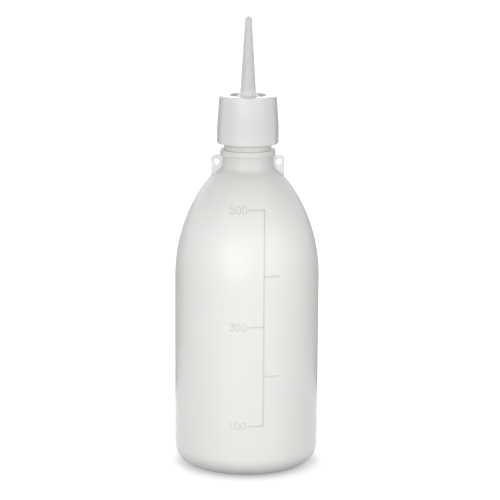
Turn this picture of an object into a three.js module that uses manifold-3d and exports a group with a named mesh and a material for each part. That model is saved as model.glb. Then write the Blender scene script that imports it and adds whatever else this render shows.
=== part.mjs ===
import * as THREE from 'three';
import { mergeVertices } from 'three/addons/utils/BufferGeometryUtils.js';
import Module from 'manifold-3d';

// Plastic oil bottle: a blow-moulded bottle marked to 500 ml, and the dropper cap that screws onto its neck.
// Millimetres, +Z up. The origin is on the bottle's axis, in the plane that it stands on.
// The front, which carries the scale, faces -Y, and the two ears lie along X.

// Body
const BODY_RADIUS = 36.5;
const BODY_HEIGHT = 97.3;
const WALL = 1.05;
const HEEL_RADIUS = 9.7;
const STAND_RING_WIDTH = 3.5;
const BASE_RISE = 2.2;

// Shoulder: a long arc, then a tighter one that turns in towards the neck. The plastic stretches less
// there as it is blown, so the inner arc is tighter again and the wall thickens towards the neck.
const SHOULDER_RADIUS = 81.7;
const SHOULDER_THICKENING = 3.0;
const SHOULDER_TURN = THREE.MathUtils.degToRad(35.7);
const CROWN_RADIUS = 27.2;

// Neck, with the collar that a filling machine holds
const NECK_RADIUS = 12.75;
const NECK_FILLET = 4.4;
const NECK_LENGTH = 4.0;
const COLLAR_RADIUS = 13.9;
const COLLAR_HEIGHT = 3.0;
const COLLAR_EDGE = 0.4;
const THROAT_FILLET = 6.0;

// Finish: the upper neck that the cap screws onto
const FINISH_RADIUS = 11.9;
const FINISH_HEIGHT = 25.0;
const THREAD_DEPTH = 0.95;
const BORE_RADIUS = 10.1;
const RIM_EDGE = 0.4;

// Ears: flat plates on the mould's parting plane, each with a hole for a strap
const EAR_REACH = 18.4;
const EAR_THICKNESS = 1.8;
const EAR_CORNER = 1.7;
const EAR_HOLE_RADIUS = 1.45;
const EAR_HOLE_INSET = 2.8;
const EAR_HOLE_DROP = 3.5;

// Raised scale, with a mark at each 100 ml, on the left and the right of its line by turns
const MARK_VOLUME = 100000;
const MARK_COUNT = 5;
const SCALE_LINE_X = 8.5;
const SCALE_LINE_WIDTH = 0.8;
const SCALE_RELIEF = 0.25;
const LEFT_MARK_LENGTH = 8.0;
const RIGHT_MARK_LENGTH = 7.2;

// Pinch-off seam, left across the base where the mould closed on the tube of soft plastic
const SEAM_LENGTH = 36.0;
const SEAM_WIDTH = 0.9;
const SEAM_RELIEF = 0.4;

// Cap
const THREAD_CLEARANCE = 0.35;
const SEAT_GAP = 0.3;
const PLUG_FIT = 0.3;
const SKIRT_WALL = 2.3;
const SKIRT_GAP = 3.0;
const SKIRT_BAND_HEIGHT = 8.2;
const SKIRT_TAPER = 1.1;
const SKIRT_CHAMFER = 0.5;
const TOP_THICKNESS = 1.95;
const TOP_EDGE = 0.7;
const PLUG_WALL = 0.9;
const PLUG_LENGTH = 8.0;
const PLUG_CHAMFER = 0.4;

// Nozzle: a hollow spout that rises from a recess in the cap's top, closed at its tip until it is cut
const NOZZLE_LENGTH = 39.3;
const NOZZLE_WALL = 1.1;
const NOZZLE_TAPER = THREE.MathUtils.degToRad(3.63);
const TIP_RADIUS = 1.7;
const RECESS_DEPTH = 1.75;
const RECESS_LAND = 0.28;

// Facets
const BODY_SEGMENTS = 64;
const CAP_SEGMENTS = 48;
const HOLE_SEGMENTS = 24;

const bottlePlastic = new THREE.MeshStandardMaterial({ color: 0xe9e9e6, roughness: 0.4, metalness: 0 });
const capPlastic = new THREE.MeshStandardMaterial({ color: 0xf1f1f0, roughness: 0.25, metalness: 0 });

const wasm = await Module();
wasm.setup();

// Points on an arc in the half plane of a profile: x is the radius and y is the height.
function arc(centre, radius, from, to, steps) {
  const points = [];
  for (let i = 0; i <= steps; i += 1) {
    const angle = from + ((to - from) * i) / steps;
    const x = centre.x + radius * Math.cos(angle);
    const y = centre.y + radius * Math.sin(angle);
    points.push(new THREE.Vector2(x, y));
  }
  return points;
}

function point(radius, height) {
  return new THREE.Vector2(radius, height);
}

// Joins the stretches of a profile, without the points at which one ends and the next starts twice.
function profile(...stretches) {
  const points = [];
  for (const next of stretches.flat()) {
    const last = points.at(-1);
    if (!last || last.distanceTo(next) > 1e-6) {
      points.push(next);
    }
  }
  return points;
}

// Turns a profile round the Z axis. The profile starts and ends on the axis.
function revolve(points, segments) {
  const onAxis = points.map((p) => (Math.abs(p.x) < 1e-6 ? point(0, p.y) : p));
  return new THREE.LatheGeometry(onAxis, segments).rotateX(Math.PI / 2);
}

function toSolid(geometry) {
  const bare = geometry.clone();
  bare.deleteAttribute('normal');
  bare.deleteAttribute('uv');
  const merged = mergeVertices(bare, 1e-5);
  const corners = merged.index.array;
  const triangles = [];
  for (let i = 0; i < corners.length; i += 3) {
    const [a, b, c] = corners.slice(i, i + 3);
    if (a !== b && b !== c && c !== a) {
      triangles.push(a, b, c);
    }
  }
  return new wasm.Manifold(new wasm.Mesh({
    numProp: 3,
    vertProperties: new Float32Array(merged.attributes.position.array),
    triVerts: new Uint32Array(triangles),
  }));
}

function toGeometry(solid) {
  const mesh = solid.getMesh();
  const geometry = new THREE.BufferGeometry();
  geometry.setAttribute('position', new THREE.BufferAttribute(mesh.vertProperties, 3));
  geometry.setIndex(new THREE.BufferAttribute(mesh.triVerts, 1));
  geometry.computeVertexNormals();
  return geometry;
}

// Box between two corners
function block(low, high) {
  const size = new THREE.Vector3().subVectors(high, low);
  const middle = new THREE.Vector3().addVectors(high, low).multiplyScalar(0.5);
  return toSolid(new THREE.BoxGeometry(size.x, size.y, size.z).translate(middle.x, middle.y, middle.z));
}

// The two skins of the body. The inner one lies a wall inside the outer one and runs into the bore.
const outerShape = {
  inset: 0,
  shoulderRadius: SHOULDER_RADIUS,
  neckRadius: NECK_RADIUS,
  fillet: NECK_FILLET,
  fineness: 1,
};
const innerShape = {
  inset: WALL,
  shoulderRadius: SHOULDER_RADIUS - WALL - SHOULDER_THICKENING,
  neckRadius: BORE_RADIUS,
  fillet: THROAT_FILLET,
  fineness: 0.75,
};

// The same skin, moved outwards from the space inside the bottle
function grown(shape, distance) {
  return {
    ...shape,
    inset: shape.inset - distance,
    shoulderRadius: shape.shoulderRadius + distance,
    neckRadius: shape.neckRadius + distance,
    fillet: shape.fillet - distance,
  };
}

// The profile of a skin, from the middle of the base to the top of the neck's fillet
function skin({ inset, shoulderRadius, neckRadius, fillet, fineness }) {
  const steps = (count) => Math.ceil(count * fineness);
  const heelCentre = point(BODY_RADIUS - HEEL_RADIUS, HEEL_RADIUS);
  const standInner = heelCentre.x - STAND_RING_WIDTH;
  const domeRadius = (standInner ** 2 + BASE_RISE ** 2) / (2 * BASE_RISE);
  const domeCentre = point(0, BASE_RISE - domeRadius);
  const domeEnd = Math.asin(1 - BASE_RISE / (domeRadius + inset));

  const crownRadius = CROWN_RADIUS - inset;
  const shoulderCentre = point(BODY_RADIUS - inset - shoulderRadius, BODY_HEIGHT);
  const crownCentre = point(shoulderRadius - crownRadius, 0)
    .rotateAround(point(0, 0), SHOULDER_TURN)
    .add(shoulderCentre);

  // The fillet touches both the crown and the neck.
  const filletX = neckRadius + fillet;
  const filletRise = Math.sqrt((crownRadius + fillet) ** 2 - (filletX - crownCentre.x) ** 2);
  const filletCentre = point(filletX, crownCentre.y + filletRise);
  const crownEnd = Math.atan2(filletRise, filletX - crownCentre.x);
  return profile(
    arc(domeCentre, domeRadius + inset, Math.PI / 2, domeEnd, steps(4)),
    arc(heelCentre, HEEL_RADIUS - inset, -Math.PI / 2, 0, steps(6)),
    arc(shoulderCentre, shoulderRadius, 0, SHOULDER_TURN, steps(9)),
    arc(crownCentre, crownRadius, SHOULDER_TURN, crownEnd, steps(4)),
    arc(filletCentre, fillet, crownEnd + Math.PI, Math.PI, steps(4)),
  );
}

const outerSkin = skin(outerShape);
const innerSkin = skin(innerShape);

const collarBottom = outerSkin.at(-1).y + NECK_LENGTH;
const collarTop = collarBottom + COLLAR_HEIGHT;
const rimHeight = collarTop + FINISH_HEIGHT;

// The space inside the bottle and half of its wall: what grows from the wall is cut back to this.
function core() {
  const middle = skin(grown(innerShape, WALL / 2));
  const top = rimHeight + WALL;
  return toSolid(revolve(profile(middle, [point(middle.at(-1).x, top), point(0, top)]), BODY_SEGMENTS));
}

// Lets a pattern stand out from the wall by the relief, over the whole of the body.
function raised(pattern, relief) {
  const proud = skin(grown(outerShape, relief));
  const swollen = toSolid(revolve(profile(proud, [point(0, proud.at(-1).y)]), BODY_SEGMENTS));
  return pattern.intersect(swollen).subtract(core());
}

function bottleShell() {
  return toSolid(revolve(profile(
    outerSkin,
    [
      point(NECK_RADIUS, collarBottom),
      point(COLLAR_RADIUS - COLLAR_EDGE, collarBottom),
      point(COLLAR_RADIUS, collarBottom + COLLAR_EDGE),
      point(COLLAR_RADIUS, collarTop - COLLAR_EDGE),
      point(COLLAR_RADIUS - COLLAR_EDGE, collarTop),
      point(FINISH_RADIUS, collarTop),
      point(FINISH_RADIUS, rimHeight - RIM_EDGE),
      point(FINISH_RADIUS - RIM_EDGE, rimHeight),
      point(BORE_RADIUS + RIM_EDGE, rimHeight),
      point(BORE_RADIUS, rimHeight - RIM_EDGE),
    ],
    innerSkin.toReversed(),
  ), BODY_SEGMENTS));
}

// One plate, drawn in the plane of the neck's axis, reaches through both ears. The core cuts it in two.
function ears() {
  const top = collarBottom;
  const cornerX = EAR_REACH - EAR_CORNER;
  const cornerY = top - EAR_CORNER;
  const plate = new THREE.Shape();
  plate.moveTo(-EAR_REACH, BODY_HEIGHT);
  plate.lineTo(EAR_REACH, BODY_HEIGHT);
  plate.absarc(cornerX, cornerY, EAR_CORNER, 0, Math.PI / 2);
  plate.absarc(-cornerX, cornerY, EAR_CORNER, Math.PI / 2, Math.PI);
  plate.closePath();
  for (const side of [-1, 1]) {
    const hole = new THREE.Path();
    const holeX = side * (EAR_REACH - EAR_HOLE_INSET);
    hole.absarc(holeX, top - EAR_HOLE_DROP, EAR_HOLE_RADIUS, 0, 2 * Math.PI, true);
    plate.holes.push(hole);
  }
  const geometry = new THREE.ExtrudeGeometry(plate, {
    depth: EAR_THICKNESS,
    bevelEnabled: false,
    curveSegments: HOLE_SEGMENTS / 4,
  });
  geometry.translate(0, 0, -EAR_THICKNESS / 2).rotateX(Math.PI / 2);
  return toSolid(geometry).subtract(core());
}

// Height to which a volume of liquid fills the bottle, or nothing where it would overflow the shoulder.
function levelOf(volume) {
  let filled = 0;
  for (let i = 1; i < innerSkin.length; i += 1) {
    const low = innerSkin[i - 1];
    const high = innerSkin[i];
    const meanSquare = (low.x ** 2 + low.x * high.x + high.x ** 2) / 3;
    const slice = Math.PI * meanSquare * (high.y - low.y);
    if (filled + slice >= volume) {
      return low.y + ((volume - filled) / slice) * (high.y - low.y);
    }
    filled += slice;
  }
  return null;
}

function scale() {
  const levels = [];
  for (let i = 1; i <= MARK_COUNT; i += 1) {
    levels.push(levelOf(i * MARK_VOLUME));
  }
  const marks = levels.filter((level) => level !== null);
  const half = SCALE_LINE_WIDTH / 2;
  const front = -BODY_RADIUS - WALL;
  const line = block(
    new THREE.Vector3(SCALE_LINE_X - half, front, marks[0] - half),
    new THREE.Vector3(SCALE_LINE_X + half, 0, marks.at(-1) + half),
  );
  return marks.reduce((pattern, level, index) => {
    const onLeft = index % 2 === 0;
    const start = onLeft ? SCALE_LINE_X - LEFT_MARK_LENGTH : SCALE_LINE_X;
    const end = onLeft ? SCALE_LINE_X : SCALE_LINE_X + RIGHT_MARK_LENGTH;
    const mark = block(
      new THREE.Vector3(start, front, level - half),
      new THREE.Vector3(end, 0, level + half),
    );
    return pattern.add(mark);
  }, line);
}

function seam() {
  return block(
    new THREE.Vector3(-SEAM_LENGTH / 2, -SEAM_WIDTH / 2, -WALL),
    new THREE.Vector3(SEAM_LENGTH / 2, SEAM_WIDTH / 2, BASE_RISE + WALL),
  );
}

function makeBottle() {
  const solid = bottleShell()
    .add(ears())
    .add(raised(scale(), SCALE_RELIEF))
    .add(raised(seam(), SEAM_RELIEF));
  const mesh = new THREE.Mesh(toGeometry(solid), bottlePlastic);
  mesh.name = 'bottle';
  return mesh;
}

// Heights and radii of the cap, from the neck that it fits
const skirtBottom = collarTop + SKIRT_GAP;
const capUnderside = rimHeight + SEAT_GAP;
const capTop = capUnderside + TOP_THICKNESS;
const skirtInner = FINISH_RADIUS + THREAD_DEPTH + THREAD_CLEARANCE;
const skirtOuter = skirtInner + SKIRT_WALL;
const topOuter = skirtOuter - SKIRT_TAPER;
const plugOuter = BORE_RADIUS - PLUG_FIT;
const plugInner = plugOuter - PLUG_WALL;
const plugBottom = capUnderside - PLUG_LENGTH;
const recessFloor = capTop - RECESS_DEPTH;
const tipCentre = point(0, capTop + NOZZLE_LENGTH - TIP_RADIUS);

// The flare at the nozzle's foot touches its cone and the recess's floor above the plug's inner wall.
const flareRadius = (plugInner * Math.cos(NOZZLE_TAPER)
  - (tipCentre.y - recessFloor) * Math.sin(NOZZLE_TAPER) - TIP_RADIUS) / (1 - Math.sin(NOZZLE_TAPER));
const flareCentre = point(plugInner, recessFloor + flareRadius);

// A skin of the nozzle, from the recess's floor up to the tip. The inner one lies a wall inside.
function nozzleSkin(inset, tipSteps) {
  return profile(
    arc(flareCentre, flareRadius + inset, 1.5 * Math.PI, Math.PI + NOZZLE_TAPER, 6),
    arc(tipCentre, TIP_RADIUS - inset, NOZZLE_TAPER, Math.PI / 2, tipSteps),
  );
}

function makeCap() {
  const edgeCentre = point(topOuter - TOP_EDGE, capTop - TOP_EDGE);
  const outline = profile(
    nozzleSkin(NOZZLE_WALL, 3).toReversed(),
    [
      point(plugInner, plugBottom),
      point(plugOuter - PLUG_CHAMFER, plugBottom),
      point(plugOuter, plugBottom + 3 * PLUG_CHAMFER),
      point(plugOuter, capUnderside),
      point(skirtInner, capUnderside),
      point(skirtInner, skirtBottom),
      point(skirtOuter - SKIRT_CHAMFER, skirtBottom),
      point(skirtOuter, skirtBottom + SKIRT_CHAMFER),
      point(skirtOuter, skirtBottom + SKIRT_BAND_HEIGHT),
    ],
    arc(edgeCentre, TOP_EDGE, 0, Math.PI / 2, 3),
    [
      point(plugInner + RECESS_LAND, capTop),
      point(plugInner + RECESS_LAND, recessFloor),
    ],
    nozzleSkin(0, 5),
  );
  const mesh = new THREE.Mesh(revolve(outline, CAP_SEGMENTS), capPlastic);
  mesh.name = 'dropper_cap';
  return mesh;
}

const group = new THREE.Group();
group.add(makeBottle(), makeCap());

export default group;
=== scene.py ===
# %% [markdown]
# # A plastic oil bottle with a dropper cap
# The bottle is blown from natural polyethylene: a hot tube of plastic is shut in a mould and puffed out
# against its walls. The cap is moulded in one piece, from its skirt to the tip of its nozzle. The solids
# from the CAD model load first and never move. They give every piece below its place and size, in metres,
# with +Z up along the bottle and the front facing -Y.

# %% Load the solids
import math

import bpy
from mathutils import Matrix, Vector


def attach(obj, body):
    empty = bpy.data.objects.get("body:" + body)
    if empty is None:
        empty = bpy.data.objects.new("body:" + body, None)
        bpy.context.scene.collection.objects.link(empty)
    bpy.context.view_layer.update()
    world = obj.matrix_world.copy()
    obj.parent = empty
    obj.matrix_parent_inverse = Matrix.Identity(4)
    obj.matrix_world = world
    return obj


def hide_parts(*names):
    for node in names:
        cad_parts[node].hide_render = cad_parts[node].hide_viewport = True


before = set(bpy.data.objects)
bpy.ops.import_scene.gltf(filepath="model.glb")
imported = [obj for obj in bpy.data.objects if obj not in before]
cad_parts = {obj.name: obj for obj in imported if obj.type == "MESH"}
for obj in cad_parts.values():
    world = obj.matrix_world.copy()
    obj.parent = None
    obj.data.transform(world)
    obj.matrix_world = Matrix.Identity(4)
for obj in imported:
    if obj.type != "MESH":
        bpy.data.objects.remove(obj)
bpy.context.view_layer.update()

MM = 0.001
print("solids:", sorted(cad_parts))

# %% [markdown]
# ## Camera
# The photograph was taken from about a metre away with a long lens, a little above the bottle, so the top
# of the cap shows as a thin ellipse. A long lens keeps the bottle's sides nearly parallel. The camera
# also leans by a third of a degree, which is why the nozzle stands slightly to the right of the foot.

# %% Camera
CAMERA_PLACE = Vector((1.46, -1070.3, 331.1)) * MM
CAMERA_PITCH = math.radians(11.67)
CAMERA_ROLL = math.radians(0.38)
CAMERA_LENS = 155.07
CAMERA_SENSOR = 36.0

bpy.ops.object.camera_add(location=CAMERA_PLACE)
camera = bpy.context.object
camera.name = "camera"
camera.data.lens = CAMERA_LENS
camera.data.sensor_width = CAMERA_SENSOR
lean = Matrix.Rotation(math.pi / 2 - CAMERA_PITCH, 4, "X") @ Matrix.Rotation(CAMERA_ROLL, 4, "Z")
camera.rotation_euler = lean.to_euler()
bpy.context.scene.camera = camera
bpy.context.scene.view_settings.view_transform = "Standard"
print("camera turned by", [round(math.degrees(a), 2) for a in camera.rotation_euler], "degrees")

# %% [markdown]
# ## Profiles
# Both pieces are round, so each is drawn once as half of its cut section and spun about the axis, which
# is also how their moulds are turned on a lathe. A section is mostly arcs that touch each other. Worked
# out from their radii, they join with no kink, which a hand-drawn outline on a glossy surface would give
# away.

# %% Arcs and sections, in millimetres from the axis and above the floor
def arc(centre, radius, start, end, steps):
    """Points on an arc, as (radius, height), from one angle to another."""
    angles = [start + (end - start) * i / steps for i in range(steps + 1)]
    return [(centre[0] + radius * math.cos(a), centre[1] + radius * math.sin(a)) for a in angles]


def without_repeats(points):
    kept = [points[0]]
    for point in points[1:]:
        if math.dist(point, kept[-1]) > 1e-5:
            kept.append(point)
    return kept


# %% Sizes of the bottle's body
BODY_RADIUS = 36.5
BODY_HEIGHT = 97.3
WALL = 1.05
HEEL_RADIUS = 9.7
STAND_RING_WIDTH = 3.5
BASE_RISE = 2.2
SHOULDER_RADIUS = 81.7
SHOULDER_THICKENING = 3.0
SHOULDER_TURN = math.radians(35.7)
CROWN_RADIUS = 27.2
NECK_RADIUS = 12.75
NECK_FILLET = 4.4
BORE_RADIUS = 10.1
THROAT_FILLET = 6.0

# How many steps each arc is drawn in.
DOME_STEPS = 8
HEEL_STEPS = 14
SHOULDER_STEPS = 24
CROWN_STEPS = 14
NECK_FILLET_STEPS = 10

heel = (BODY_RADIUS - HEEL_RADIUS, HEEL_RADIUS)
ring_inside = heel[0] - STAND_RING_WIDTH
dome_radius = (ring_inside ** 2 + BASE_RISE ** 2) / (2 * BASE_RISE)


def skin(inset, shoulder_radius, neck_radius, fillet):
    """The section of one skin of the bottle, from the middle of its base to the foot of its neck."""
    dome_end = math.asin(1 - BASE_RISE / (dome_radius + inset))
    dome = arc((0, BASE_RISE - dome_radius), dome_radius + inset, math.pi / 2, dome_end, DOME_STEPS)
    round_heel = arc(heel, HEEL_RADIUS - inset, -math.pi / 2, 0, HEEL_STEPS)

    shoulder_centre = (BODY_RADIUS - inset - shoulder_radius, BODY_HEIGHT)
    shoulder = arc(shoulder_centre, shoulder_radius, 0, SHOULDER_TURN, SHOULDER_STEPS)
    crown_radius = CROWN_RADIUS - inset
    crown_centre = (
        shoulder_centre[0] + (shoulder_radius - crown_radius) * math.cos(SHOULDER_TURN),
        shoulder_centre[1] + (shoulder_radius - crown_radius) * math.sin(SHOULDER_TURN),
    )
    across = neck_radius + fillet - crown_centre[0]
    rise = math.sqrt((crown_radius + fillet) ** 2 - across ** 2)
    crown_end = math.atan2(rise, across)
    crown = arc(crown_centre, crown_radius, SHOULDER_TURN, crown_end, CROWN_STEPS)
    fillet_centre = (neck_radius + fillet, crown_centre[1] + rise)
    neck_fillet = arc(fillet_centre, fillet, crown_end + math.pi, math.pi, NECK_FILLET_STEPS)
    return without_repeats(dome + round_heel + shoulder + crown + neck_fillet)


outer_skin = skin(0, SHOULDER_RADIUS, NECK_RADIUS, NECK_FILLET)
inner_skin = skin(WALL, SHOULDER_RADIUS - WALL - SHOULDER_THICKENING, BORE_RADIUS, THROAT_FILLET)
print("the neck starts", round(outer_skin[-1][1], 2), "mm up")

# %% [markdown]
# ## Modelling helpers
# An operator acts on whatever is selected, so each step starts with nothing selected. A section is drawn
# as one point that is extruded from place to place, and then spun right round the axis. Its doubled
# points are merged, and the normals are recalculated last, because a spin can leave the surface inside
# out.

# %% Draw, spin, finish
SPIN_STEPS = 128
MERGE_DISTANCE = 0.002 * MM
SMOOTH_ANGLE = math.radians(28)


def start_clean():
    if bpy.context.object and bpy.context.object.mode != "OBJECT":
        bpy.ops.object.mode_set(mode="OBJECT")
    bpy.ops.object.select_all(action="DESELECT")


def draw(name, points):
    """Draws a chain of edges through points in millimetres and stays in edit mode at its end."""
    start_clean()
    bpy.ops.mesh.primitive_plane_add(size=MM, location=Vector(points[0]) * MM)
    bpy.ops.object.transform_apply(location=True)
    piece = bpy.context.object
    piece.name = piece.data.name = name
    bpy.ops.object.mode_set(mode="EDIT")
    bpy.ops.mesh.select_all(action="SELECT")
    bpy.ops.mesh.merge(type="CENTER")
    for here, there in zip(points, points[1:]):
        step = (Vector(there) - Vector(here)) * MM
        bpy.ops.mesh.extrude_vertices_move(TRANSFORM_OT_translate={"value": step})
    return piece


def close_up():
    """Merges doubled points and turns every face outwards."""
    bpy.ops.mesh.select_all(action="SELECT")
    bpy.ops.mesh.remove_doubles(threshold=MERGE_DISTANCE)
    bpy.ops.mesh.normals_make_consistent(inside=False)
    bpy.ops.object.mode_set(mode="OBJECT")


def spin(name, section):
    """Spins a section that starts and ends on the axis."""
    piece = draw(name, [(radius, 0, height) for radius, height in section])
    bpy.ops.mesh.select_all(action="SELECT")
    bpy.ops.mesh.spin(
        steps=SPIN_STEPS, angle=math.tau, center=(0, 0, 0), axis=(0, 0, 1), use_auto_merge=True,
    )
    close_up()
    return piece


def smooth(piece):
    start_clean()
    piece.select_set(True)
    bpy.context.view_layer.objects.active = piece
    bpy.ops.object.shade_smooth_by_angle(angle=SMOOTH_ANGLE)


def modify(piece, kind, **settings):
    """Adds a modifier, sets it and applies it."""
    start_clean()
    piece.select_set(True)
    bpy.context.view_layer.objects.active = piece
    modifier = piece.modifiers.new(kind.title(), kind)
    for key, value in settings.items():
        setattr(modifier, key, value)
    bpy.ops.object.modifier_apply(modifier=modifier.name)


def size_in_mm(piece):
    return [round(side / MM, 2) for side in piece.dimensions]


# %% [markdown]
# ## The bottle's wall
# The wall is one closed shell. It runs from the middle of the base up the outside, over the collar and
# the rim, and back down the inside. The plastic stretches least near the neck, so the wall is thickest
# there.

# %% Sizes of the neck
NECK_LENGTH = 4.0
COLLAR_RADIUS = 13.9
COLLAR_HEIGHT = 3.0
COLLAR_EDGE = 0.4
FINISH_RADIUS = 11.9
FINISH_HEIGHT = 25.0
RIM_EDGE = 0.4
EDGE_STEPS = 4

collar_bottom = outer_skin[-1][1] + NECK_LENGTH
collar_top = collar_bottom + COLLAR_HEIGHT
rim = collar_top + FINISH_HEIGHT

# %% Spin the wall
collar_edge_low = (COLLAR_RADIUS - COLLAR_EDGE, collar_bottom + COLLAR_EDGE)
collar_edge_high = (COLLAR_RADIUS - COLLAR_EDGE, collar_top - COLLAR_EDGE)
rim_outside = (FINISH_RADIUS - RIM_EDGE, rim - RIM_EDGE)
rim_inside = (BORE_RADIUS + RIM_EDGE, rim - RIM_EDGE)
neck = (
    [(NECK_RADIUS, collar_bottom)]
    + arc(collar_edge_low, COLLAR_EDGE, -math.pi / 2, 0, EDGE_STEPS)
    + arc(collar_edge_high, COLLAR_EDGE, 0, math.pi / 2, EDGE_STEPS)
    + [(FINISH_RADIUS, collar_top)]
    + arc(rim_outside, RIM_EDGE, 0, math.pi / 2, EDGE_STEPS)
    + arc(rim_inside, RIM_EDGE, math.pi / 2, math.pi, EDGE_STEPS)
)
bottle = spin("bottle_wall", without_repeats(outer_skin + neck + inner_skin[::-1]))
print("bottle wall:", size_in_mm(bottle), "mm,", len(bottle.data.polygons), "faces")

# %% [markdown]
# ## Ears
# Two flat ears stand on the mould's parting plane, where the two halves pinch the plastic, and each has a
# hole for a strap. An ear is drawn as a flat outline, filled and extruded to its thickness. Its inner
# edge follows the middle of the bottle's wall, so that nothing reaches into the neck. The hole is cut
# with a round pin and a Boolean modifier, which is quicker than stitching a round opening into a plate by
# hand.

# %% Sizes of the ears
EAR_FOOT = BODY_HEIGHT + 10
EAR_REACH = 18.4
EAR_THICKNESS = 1.8
EAR_CORNER = 1.7
EAR_CORNER_STEPS = 8
EAR_HOLE_RADIUS = 1.45
EAR_HOLE_SIDES = 48
EAR_HOLE_INSET = 2.8
EAR_HOLE_DROP = 3.5
EAR_EDGE = 0.5
EAR_EDGE_STEPS = 3
EAR_EDGE_ANGLE = math.radians(50)

half_wall = WALL / 2
middle_skin = skin(
    half_wall, SHOULDER_RADIUS - half_wall - SHOULDER_THICKENING,
    BORE_RADIUS + half_wall, THROAT_FILLET - half_wall,
)

# %% Make one ear and its mirror image
def make_ear(side):
    inner_edge = [p for p in middle_skin if p[1] > EAR_FOOT and p[0] < EAR_REACH]
    corner_centre = (EAR_REACH - EAR_CORNER, collar_bottom - EAR_CORNER)
    corner = arc(corner_centre, EAR_CORNER, math.pi / 2, 0, EAR_CORNER_STEPS)
    outline = inner_edge + [(inner_edge[-1][0], collar_bottom)] + corner + [(EAR_REACH, inner_edge[0][1])]
    outline = without_repeats(outline)
    ear = draw(f"ear_{side:+d}", [(side * x, EAR_THICKNESS / 2, z) for x, z in outline])
    bpy.ops.mesh.select_all(action="SELECT")
    bpy.ops.mesh.edge_face_add()
    bpy.ops.mesh.extrude_region_move(TRANSFORM_OT_translate={"value": (0, -EAR_THICKNESS * MM, 0)})
    close_up()

    start_clean()
    hole_place = Vector((side * (EAR_REACH - EAR_HOLE_INSET), 0, collar_bottom - EAR_HOLE_DROP)) * MM
    bpy.ops.mesh.primitive_cylinder_add(
        vertices=EAR_HOLE_SIDES, radius=EAR_HOLE_RADIUS * MM, depth=4 * EAR_THICKNESS * MM,
        location=hole_place, rotation=(math.pi / 2, 0, 0),
    )
    pin = bpy.context.object
    modify(ear, "BOOLEAN", operation="DIFFERENCE", object=pin, solver="EXACT")
    bpy.data.objects.remove(pin)
    modify(ear, "BEVEL", width=EAR_EDGE * MM, segments=EAR_EDGE_STEPS,
           limit_method="ANGLE", angle_limit=EAR_EDGE_ANGLE)
    return ear


ears = [make_ear(-1), make_ear(1)]
print("ear:", size_in_mm(ears[0]), "mm")
for ear in ears:
    modify(bottle, "BOOLEAN", operation="UNION", object=ear, solver="EXACT")
    bpy.data.objects.remove(ear)
print("bottle with its ears:", len(bottle.data.polygons), "faces")

# %% [markdown]
# ## Scale
# The scale stands a fifth to a third of a millimetre out of the wall: an upright line, a mark at each
# 100 ml, and the figures 100, 300 and 500. Moulded ridges are rounded, so each one is a fine bar swept
# along a path on the wall, half sunk in it. The marks stand where the volume below them says. That is
# worked out here from the inner skin, slice by slice. No ridge comes further forward than SCALE_FRONT, so
# that the scale stays inside the box of the solids.

# %% Heights of the marks, and places on the wall
MARK_VOLUME = 100000
MARK_COUNT = 5
SCALE_LINE_X = 8.5
LEFT_MARK_LENGTH = 8.0
RIGHT_MARK_LENGTH = 7.2
LINE_RELIEF = 0.35
FIGURE_RELIEF = 0.2
LINE_STEPS = 60
MARK_STEPS = 8


def level_of(volume):
    """Height to which a volume in cubic millimetres fills the bottle."""
    filled = 0
    for (low_r, low_z), (high_r, high_z) in zip(inner_skin, inner_skin[1:]):
        part = math.pi * (low_r ** 2 + low_r * high_r + high_r ** 2) / 3 * (high_z - low_z)
        if filled + part >= volume:
            return low_z + (volume - filled) / part * (high_z - low_z)
        filled += part


def wall_radius(z):
    """Outer radius of the wall, and how much it slopes in, at a height between the heel and the crown."""
    if z <= BODY_HEIGHT:
        return BODY_RADIUS, 0.0
    angle = math.asin((z - BODY_HEIGHT) / SHOULDER_RADIUS)
    return BODY_RADIUS - SHOULDER_RADIUS * (1 - math.cos(angle)), angle


def on_wall(x, z, proud):
    """A point on the front of the wall, as the photograph shows it at x and z, moved out by proud."""
    radius, slope = wall_radius(z)
    turn = math.asin(x / radius)
    out = radius + proud * math.cos(slope)
    return (out * math.sin(turn), -out * math.cos(turn), z + proud * math.sin(slope))


marks = [level_of((i + 1) * MARK_VOLUME) for i in range(MARK_COUNT)]
print("marks at", [round(z, 2) for z in marks], "mm")

# %% Sweep a ridge along a path
LINE_RIDGE = 0.38
FIGURE_RIDGE = 0.25
FRONT_RELIEF = 0.21
SCALE_FRONT = BODY_RADIUS + FRONT_RELIEF


def sweep(name, path, radius, ends=1.0):
    """A round bar along a path in millimetres, made a closed mesh. ends is how thick its two ends are."""
    start_clean()
    curve = bpy.data.curves.new(name, "CURVE")
    curve.dimensions = "3D"
    curve.bevel_depth = radius * MM
    curve.bevel_resolution = 2
    curve.use_fill_caps = True
    spline = curve.splines.new("POLY")
    spline.points.add(len(path) - 1)
    for place, point in zip(path, spline.points):
        point.co = (*(Vector(place) * MM), 1)
    spline.points[0].radius = spline.points[-1].radius = ends
    bar = bpy.data.objects.new(name, curve)
    bpy.context.collection.objects.link(bar)
    bar.select_set(True)
    bpy.context.view_layer.objects.active = bar
    bpy.ops.object.convert(target="MESH")
    bpy.ops.object.mode_set(mode="EDIT")
    close_up()
    return bar


def ridge(name, flat_path, radius, relief=LINE_RELIEF):
    """A ridge on the wall through points (x, z) as the photograph shows them."""
    places = [on_wall(x, z, relief - radius) for x, z in flat_path]
    return sweep(name, [(x, max(y, radius - SCALE_FRONT), z) for x, y, z in places], radius)


def steps_between(start, end, count):
    return [tuple(a + (b - a) * i / count for a, b in zip(start, end)) for i in range(count + 1)]


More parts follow.
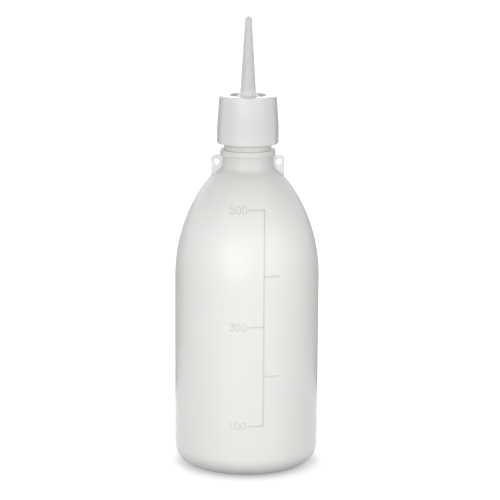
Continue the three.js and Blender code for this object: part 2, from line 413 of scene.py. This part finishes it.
line_path = steps_between((SCALE_LINE_X, marks[0]), (SCALE_LINE_X, marks[-1]), LINE_STEPS)
line = ridge("scale_line", line_path, LINE_RIDGE)
ridges = [line]
for number, z in enumerate(marks):
    reach = -LEFT_MARK_LENGTH if number % 2 == 0 else RIGHT_MARK_LENGTH
    path = steps_between((SCALE_LINE_X, z), (SCALE_LINE_X + reach, z), MARK_STEPS)
    ridges.append(ridge(f"mark_{number + 1}", path, LINE_RIDGE))
print("scale line and", len(ridges) - 1, "marks")

# %% [markdown]
# ## Figures
# Each figure is drawn as one or two strokes, as an engraver's cutter draws them in the mould. A stroke is
# made of short straight runs and arcs in a box 2.3 mm wide and 3.7 mm high.

# %% Strokes of the figures
FIGURE_WIDTH = 2.3
FIGURE_HEIGHT = 3.7
FIGURE_STEP = 3.1
FIGURES_LEFT = -8.7


def bowl(cx, cz, width, height, start, end, steps=12):
    """Part of an oval, as points across and up a figure's box."""
    angles = [math.radians(start + (end - start) * i / steps) for i in range(steps + 1)]
    return [(cx + width / 2 * math.cos(a), cz + height / 2 * math.sin(a)) for a in angles]


W, H = FIGURE_WIDTH, FIGURE_HEIGHT
STROKES = {
    "0": [bowl(W / 2, H / 2, W, H, 90, 445, 26)],
    "1": [[(W * 0.15, H * 0.78), (W * 0.55, H), (W * 0.55, 0)]],
    "3": [
        bowl(W / 2, H * 0.75, W * 0.86, H * 0.5, 160, -90)
        + bowl(W / 2, H * 0.26, W, H * 0.52, 90, -160)
    ],
    "5": [
        [(W * 0.95, H), (W * 0.12, H), (W * 0.06, H * 0.54)]
        + bowl(W / 2, H * 0.32, W, H * 0.64, 125, -155, 16)
    ],
}


def write_figures(word, z):
    made = []
    for place, figure in enumerate(word):
        for stroke in STROKES[figure]:
            left = FIGURES_LEFT + place * FIGURE_STEP
            path = [(left + x, z - H / 2 + up) for x, up in stroke]
            made.append(ridge(f"figure_{word}_{place}", path, FIGURE_RIDGE, FIGURE_RELIEF))
    return made


for word, z in (("100", marks[0]), ("300", marks[2]), ("500", marks[4])):
    ridges += write_figures(word, z)
print(len(ridges), "ridges in the scale")

# %% Join the scale into one piece
start_clean()
for piece in ridges:
    piece.select_set(True)
bpy.context.view_layer.objects.active = line
bpy.ops.object.join()
scale_marks = line
scale_marks.name = scale_marks.data.name = "scale_marks"
print("scale:", size_in_mm(scale_marks), "mm")

# %% [markdown]
# ## Thread and seam
# The cap screws onto a raised thread of 3 mm pitch, which is a bar swept along a helix round the neck,
# thinner at both ends where the cutter ran out. Under the base, the mould pinched the tube of plastic
# shut and left a straight seam. Both are hidden in the photograph, but show when the cap is off or the
# bottle is tipped over.

# %% Neck thread and base seam
THREAD_DEPTH = 0.95
THREAD_PITCH = 3.0
THREAD_TURNS = 2.0
THREAD_RIDGE = 0.85
THREAD_START_DROP = 3.2
THREAD_STEPS = 128
THREAD_END = 0.3
SEAM_LENGTH = 36.0
SEAM_WIDTH = 0.9
SEAM_RELIEF = 0.4
SEAM_STEPS = 24

thread_radius = FINISH_RADIUS + THREAD_DEPTH - THREAD_RIDGE
helix = []
for i in range(THREAD_STEPS + 1):
    turns = THREAD_TURNS * i / THREAD_STEPS
    turn = math.tau * turns
    z = rim - THREAD_START_DROP - THREAD_PITCH * turns
    helix.append((thread_radius * math.sin(turn), -thread_radius * math.cos(turn), z))
neck_thread = sweep("neck_thread", helix, THREAD_RIDGE, ends=THREAD_END)
print("thread:", size_in_mm(neck_thread), "mm")

seam_path = []
for i in range(SEAM_STEPS + 1):
    x = SEAM_LENGTH * (i / SEAM_STEPS - 0.5)
    dome_height = BASE_RISE - dome_radius + math.sqrt(dome_radius ** 2 - x ** 2)
    seam_path.append((x, 0, dome_height + SEAM_WIDTH / 2 - SEAM_RELIEF))
base_seam = sweep("base_seam", seam_path, SEAM_WIDTH / 2)
print("seam:", size_in_mm(base_seam), "mm")

# %% [markdown]
# ## Dropper cap
# One moulding holds the skirt, the flat top, the plug that seals the neck's bore, and the hollow nozzle
# that rises out of a recess. Its wall is the same from the plug to the closed tip, so the inside of the
# nozzle repeats the outside a wall further in. The whole section is drawn once and spun.

# %% Sizes of the cap
THREAD_CLEARANCE = 0.35
SEAT_GAP = 0.3
PLUG_FIT = 0.3
SKIRT_WALL = 2.3
SKIRT_GAP = 3.0
SKIRT_BAND_HEIGHT = 8.2
SKIRT_TAPER = 1.1
SKIRT_CHAMFER = 0.5
TOP_THICKNESS = 1.95
TOP_EDGE = 0.7
PLUG_WALL = 0.9
PLUG_LENGTH = 8.0
PLUG_CHAMFER = 0.4
NOZZLE_LENGTH = 39.3
NOZZLE_WALL = 1.1
NOZZLE_TAPER = math.radians(3.63)
TIP_RADIUS = 1.7
RECESS_DEPTH = 1.75
RECESS_LAND = 0.28
FLARE_STEPS = 16
CONE_STEPS = 4
TIP_STEPS = 10
TOP_EDGE_STEPS = 8

skirt_bottom = collar_top + SKIRT_GAP
underside = rim + SEAT_GAP
cap_top = underside + TOP_THICKNESS
skirt_inner = FINISH_RADIUS + THREAD_DEPTH + THREAD_CLEARANCE
skirt_outer = skirt_inner + SKIRT_WALL
top_outer = skirt_outer - SKIRT_TAPER
plug_outer = BORE_RADIUS - PLUG_FIT
plug_inner = plug_outer - PLUG_WALL
plug_bottom = underside - PLUG_LENGTH
recess_floor = cap_top - RECESS_DEPTH
recess_wall = plug_inner + RECESS_LAND
tip_height = cap_top + NOZZLE_LENGTH - TIP_RADIUS

# %% Spin the cap
# The radius with which the flare touches both the recess's floor and the nozzle's cone.
flare_radius = (
    plug_inner * math.cos(NOZZLE_TAPER) - (tip_height - recess_floor) * math.sin(NOZZLE_TAPER) - TIP_RADIUS
) / (1 - math.sin(NOZZLE_TAPER))


def nozzle_skin(inset):
    """The flare at the nozzle's foot and its rounded tip. The cone between them touches both."""
    flare_centre = (plug_inner, recess_floor + flare_radius)
    flare = arc(flare_centre, flare_radius + inset, 1.5 * math.pi, math.pi + NOZZLE_TAPER, FLARE_STEPS)
    tip = arc((0, tip_height), TIP_RADIUS - inset, NOZZLE_TAPER, math.pi / 2, TIP_STEPS)
    cone = steps_between(flare[-1], tip[0], CONE_STEPS)
    return flare + cone + tip


section = (
    nozzle_skin(NOZZLE_WALL)[::-1]
    + [
        (plug_inner, plug_bottom),
        (plug_outer - PLUG_CHAMFER, plug_bottom),
        (plug_outer, plug_bottom + 3 * PLUG_CHAMFER),
        (plug_outer, underside),
        (skirt_inner, underside),
        (skirt_inner, skirt_bottom),
        (skirt_outer - SKIRT_CHAMFER, skirt_bottom),
        (skirt_outer, skirt_bottom + SKIRT_CHAMFER),
        (skirt_outer, skirt_bottom + SKIRT_BAND_HEIGHT),
    ]
    + arc((top_outer - TOP_EDGE, cap_top - TOP_EDGE), TOP_EDGE, 0, math.pi / 2, TOP_EDGE_STEPS)
    + [(recess_wall, cap_top), (recess_wall, recess_floor)]
    + nozzle_skin(0)
)
cap = spin("dropper_cap_skin", without_repeats(section))
print("cap:", size_in_mm(cap), "mm,", len(cap.data.polygons), "faces")

# %% [markdown]
# ## Materials
# Natural low-density polyethylene is milky: light goes into it, scatters and comes out nearby, which
# softens every shade, so it has subsurface scattering. Blown against a sand-blasted mould, it comes out
# satin, with fine grain and slow waves in its thickness. The cap is injected against polished steel, so
# it is glossier. Colours are written as sRGB hex values, as a colour picker shows them, and made linear
# once here.

# %% Colours and nodes
def linear(hex_colour):
    parts = [int(hex_colour[i:i + 2], 16) / 255 for i in (1, 3, 5)]
    return (*[p / 12.92 if p <= 0.04045 else ((p + 0.055) / 1.055) ** 2.4 for p in parts], 1.0)


def add_node(tree, kind, inputs=None, **settings):
    """Adds a node. An input given as a socket is linked, and any other is set."""
    node = tree.nodes.new(kind)
    for key, value in settings.items():
        setattr(node, key, value)
    for key, value in (inputs or {}).items():
        if isinstance(value, bpy.types.NodeSocket):
            tree.links.new(value, node.inputs[key])
        else:
            node.inputs[key].default_value = value
    return node


def new_material(name):
    """A material, its node tree and its Principled shader."""
    material = bpy.data.materials.new(name)
    material.use_nodes = True
    return material, material.node_tree, material.node_tree.nodes["Principled BSDF"]


def set_shader(shader, **settings):
    for key, value in settings.items():
        shader.inputs[key.replace("_", " ")].default_value = value


def paint_shade_by_height(tree, place, stops):
    """Painted shade: a colour that changes with height. stops are pairs of a height in mm, from 0 up, and a
    colour.
    """
    top = stops[-1][0] * MM
    height = add_node(tree, "ShaderNodeSeparateXYZ", {"Vector": place}).outputs["Z"]
    share = add_node(tree, "ShaderNodeMapRange", {"Value": height, "From Max": top})
    ramp = add_node(tree, "ShaderNodeValToRGB", {"Fac": share.outputs["Result"]})
    elements = ramp.color_ramp.elements
    elements[0].color = linear(stops[0][1])
    elements[1].color = linear(stops[-1][1])
    for level, colour in stops[1:-1]:
        elements.new(level * MM / top).color = linear(colour)
    return ramp.outputs["Color"]


def add_bump(tree, height, depth, strength, under=None):
    """Turns a height from 0 to 1 into bumps of a depth in metres, on top of the bumps under it."""
    inputs = {"Height": height, "Distance": depth, "Strength": strength}
    if under:
        inputs["Normal"] = under
    return add_node(tree, "ShaderNodeBump", inputs).outputs["Normal"]


# %% [markdown]
# The bottle's grain is about half a millimetre, drawn a little coarser than the real sand-blasting so
# that it shows at all. The waves in the wall are about 25 mm long. A third, single line runs down both
# sides on the parting plane, where the halves of the mould meet. The base colour is a little greyer in
# the heel and towards the neck: painted shade, for the light that falls off there.

# %% LDPE of the bottle, blow-moulded
GRAIN = 0.5 * MM
WAVE = 25 * MM
PARTING_WIDTH = 0.25 * MM
GRAIN_DEPTH = 0.02 * MM
WAVE_DEPTH = 0.6 * MM
PARTING_DEPTH = 0.08 * MM
# The greyer heel and neck colours below are painted shade.
BOTTLE_PAINTED_SHADE = [(0, "#dcdcda"), (10, "#f3f3f1"), (122, "#f3f3f1"), (148, "#e2e2e0"), (rim, "#e2e2e0")]

ldpe, tree, shader = new_material("LDPE_blow_moulded")
set_shader(shader, Roughness=0.26, IOR=1.51, Transmission_Weight=0.3, Subsurface_Weight=0.2,
           Subsurface_Scale=0.4 * MM, Subsurface_Radius=(1.0, 0.95, 0.9))
place = add_node(tree, "ShaderNodeTexCoord").outputs["Object"]
painted_shade = paint_shade_by_height(tree, place, BOTTLE_PAINTED_SHADE)
tree.links.new(painted_shade, shader.inputs["Base Color"])

waves = add_node(tree, "ShaderNodeTexNoise", {"Vector": place, "Scale": 1 / WAVE, "Detail": 1.0})
grain = add_node(tree, "ShaderNodeTexNoise", {"Vector": place, "Scale": 1 / GRAIN, "Detail": 2.0})
across = add_node(tree, "ShaderNodeSeparateXYZ", {"Vector": place}).outputs["Y"]
off_plane = add_node(tree, "ShaderNodeMath", {0: across}, operation="ABSOLUTE").outputs[0]
parting = add_node(tree, "ShaderNodeMapRange", {
    "Value": off_plane, "From Min": 0.0, "From Max": PARTING_WIDTH, "To Min": 1.0, "To Max": 0.0,
}, interpolation_type="SMOOTHSTEP")
wavy = add_bump(tree, waves.outputs["Fac"], WAVE_DEPTH, 0.5)
grainy = add_bump(tree, grain.outputs["Fac"], GRAIN_DEPTH, 0.5, wavy)
parted = add_bump(tree, parting.outputs["Result"], PARTING_DEPTH, 0.6, grainy)
tree.links.new(parted, shader.inputs["Normal"])
print("material:", ldpe.name)

# %% LDPE of the raised scale, whose narrow ridges bend the light like lenses and so look greyer
def copy_material(source, name, **settings):
    """The same plastic under another name, with some of its settings changed."""
    material = source.copy()
    material.name = name
    set_shader(material.node_tree.nodes["Principled BSDF"], **settings)
    return material


scale_ldpe = copy_material(ldpe, "LDPE_narrow_ridges", Transmission_Weight=0.8, Subsurface_Weight=0.0)
print("material:", scale_ldpe.name)

# %% LDPE of the cap, injection-moulded
SINK = 6 * MM
SINK_DEPTH = 0.06 * MM
# The nozzle is painted greyer than the rest of the cap: painted shade.
CAP_PAINTED_SHADE = [(0, "#dfdfde"), (cap_top, "#dfdfde"), (cap_top + 3, "#cacac9"), (tip_height, "#cacac9")]

cap_ldpe, tree, shader = new_material("LDPE_injection_moulded")
set_shader(shader, Roughness=0.16, IOR=1.51, Transmission_Weight=0.25, Subsurface_Weight=0.35,
           Subsurface_Scale=1 * MM, Subsurface_Radius=(1.0, 0.97, 0.94), Coat_Weight=1.0,
           Coat_Roughness=0.04, Coat_IOR=1.6)
place = add_node(tree, "ShaderNodeTexCoord").outputs["Object"]
sink = add_node(tree, "ShaderNodeTexNoise", {"Vector": place, "Scale": 1 / SINK, "Detail": 1.0})
painted_shade = paint_shade_by_height(tree, place, CAP_PAINTED_SHADE)
tree.links.new(painted_shade, shader.inputs["Base Color"])
tree.links.new(add_bump(tree, sink.outputs["Fac"], SINK_DEPTH, 0.4), shader.inputs["Normal"])
print("material:", cap_ldpe.name)

# %% Dress the pieces and put each on its body
def finish_piece(piece, material, body):
    piece.data.materials.clear()
    piece.data.materials.append(material)
    smooth(piece)
    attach(piece, body)


finish_piece(scale_marks, scale_ldpe, "bottle_body")
for piece in (bottle, neck_thread, base_seam):
    finish_piece(piece, ldpe, "bottle_body")
finish_piece(cap, cap_ldpe, "cap_body")
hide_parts("bottle")
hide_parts("dropper_cap")

# %% [markdown]
# ## Floor, world and lamps
# The photograph was taken in a white tent. Its background is pure white, but the bottle itself is lit
# from the front and fades to grey at its edges. So the white that the camera sees and the light that
# falls on the object are set apart with the Light Path node: camera, glossy and transmission rays see
# white, and all other rays see a grey world, darker overhead. A white tent is brighter than a picture can
# show, so mirror images of it are brighter than white: they draw the bright ring on the cap and the light
# rim on the shoulder. The floor adds a little glow for the same rays, which lifts it to white. Ambient
# occlusion dims that glow near the bottle, so the soft shadow under it is partly painted shadow and
# partly the floor's real shadow.

# %% Rays that see the white background
def sees_white(tree):
    rays = add_node(tree, "ShaderNodeLightPath").outputs
    seen = rays["Is Camera Ray"]
    for kind in ("Is Glossy Ray", "Is Transmission Ray"):
        seen = add_node(tree, "ShaderNodeMath", {0: seen, 1: rays[kind]}, operation="MAXIMUM").outputs[0]
    return seen


# %% World
SIDE_LIGHT = 0.75
OVERHEAD_LIGHT = 0.42
MIRRORED_LIGHT = 1.4

world = bpy.data.worlds.new("white_tent")
world.use_nodes = True
bpy.context.scene.world = world
tree = world.node_tree
background = tree.nodes["Background"]
background.inputs["Color"].default_value = (1, 1, 1, 1)
direction = add_node(tree, "ShaderNodeTexCoord").outputs["Generated"]
upwards = add_node(tree, "ShaderNodeSeparateXYZ", {"Vector": direction}).outputs["Z"]
soft_light = add_node(tree, "ShaderNodeMapRange", {
    "Value": upwards, "To Min": SIDE_LIGHT, "To Max": OVERHEAD_LIGHT,
})
seen = add_node(tree, "ShaderNodeMapRange", {
    "Value": sees_white(tree), "To Min": soft_light.outputs["Result"], "To Max": 1.0,
})
mirrored = add_node(tree, "ShaderNodeLightPath").outputs["Is Glossy Ray"]
strength = add_node(tree, "ShaderNodeMath", {0: mirrored, 1: MIRRORED_LIGHT - 1, 2: seen.outputs["Result"]},
                    operation="MULTIPLY_ADD")
tree.links.new(strength.outputs[0], background.inputs["Strength"])
print("world light: sides", SIDE_LIGHT, "above", OVERHEAD_LIGHT, "mirrored", MIRRORED_LIGHT)

# %% Floor
FLOOR_SIZE = 12.0
FLOOR_GREY = "#9a9a9a"
FLOOR_GLOW = 0.93
SHADOW_REACH = 13 * MM
SHADOW_DEPTH = 0.35
SHADOW_SAMPLES = 16

start_clean()
bpy.ops.mesh.primitive_plane_add(size=FLOOR_SIZE, location=(0, 0, 0))
floor = bpy.context.object
floor.name = "floor"
floor_paper, tree, shader = new_material("white_paper")
set_shader(shader, Base_Color=linear(FLOOR_GREY), Roughness=0.9, Specular_IOR_Level=0.0)
output = tree.nodes["Material Output"]
# Ambient occlusion dims the floor's glow near the bottle: a painted contact shadow.
corner = add_node(tree, "ShaderNodeAmbientOcclusion", {"Distance": SHADOW_REACH}, samples=SHADOW_SAMPLES)
painted_shadow_share = add_node(tree, "ShaderNodeMapRange", {"Value": corner.outputs["AO"], "To Min": SHADOW_DEPTH})
glow_strength = add_node(tree, "ShaderNodeMath", {0: sees_white(tree), 1: FLOOR_GLOW}, operation="MULTIPLY")
glow_with_painted_shadow = add_node(tree, "ShaderNodeMath", {0: glow_strength.outputs[0], 1: painted_shadow_share.outputs["Result"]},
                     operation="MULTIPLY")
glow = add_node(tree, "ShaderNodeEmission", {"Strength": glow_with_painted_shadow.outputs[0]})
both = add_node(tree, "ShaderNodeAddShader", {0: shader.outputs["BSDF"], 1: glow.outputs["Emission"]})
tree.links.new(both.outputs["Shader"], output.inputs["Surface"])
floor.data.materials.append(floor_paper)

# %% Lamps
LAMP_TARGET = Vector((0, 0, 0.1))
LAMPS = [
    ("front_softbox", (-0.5, -1.4, 0.32), 1.3, 0.55, 14.8),
    ("right_softbox", (0.95, -0.9, 0.3), 0.9, 0.5, 5.0),
    ("back_softbox", (-0.2, 1.0, 1.0), 0.7, 0.5, 9.0),
]


def add_lamp(name, place, width, height, watts):
    """A wide soft lamp that looks at the object. Sizes in metres."""
    start_clean()
    bpy.ops.object.light_add(type="AREA", location=place)
    lamp = bpy.context.object
    lamp.name = name
    lamp.data.shape = "RECTANGLE"
    lamp.data.size = width
    lamp.data.size_y = height
    lamp.data.energy = watts
    lamp.visible_glossy = False
    lamp.rotation_euler = (LAMP_TARGET - Vector(place)).to_track_quat("-Z", "Y").to_euler()


for lamp_settings in LAMPS:
    add_lamp(*lamp_settings)

# %% [markdown]
# Four low grey cards stand behind the object, two at each side, where only reflections can see them. A
# glossy round piece mirrors what lies behind it at its very edges, so the cards draw the thin grey
# outline that keeps a white bottle from melting into a white background. The pair behind serves the cap
# and the upper half, and the lower pair in front of it serves the lower half.

# %% Grey cards for the outline
CARD_GREY = "#b0b0b0"
CARD_WIDTH = 0.5
CARD_INSET = 0.05
CARD_ROWS = [(0.3, 0.16), (0.12, 0.06)]

card_grey, _, shader = new_material("grey_card")
set_shader(shader, Base_Color=linear(CARD_GREY), Roughness=1.0)
for side, (behind, card_height) in [(side, row) for side in (-1, 1) for row in CARD_ROWS]:
    start_clean()
    card_place = (side * (CARD_INSET + CARD_WIDTH / 2), behind, card_height / 2)
    bpy.ops.mesh.primitive_plane_add(size=1.0, location=card_place, rotation=(math.pi / 2, 0, 0))
    card = bpy.context.object
    card.scale = (CARD_WIDTH, card_height, 1.0)
    bpy.ops.object.transform_apply(location=False, rotation=False, scale=True)
    card.name = f"card_{side:+d}_{behind}"
    card.data.materials.append(card_grey)
    card.visible_camera = card.visible_diffuse = card.visible_transmission = card.visible_shadow = False

# %% Finish with nothing selected
start_clean()
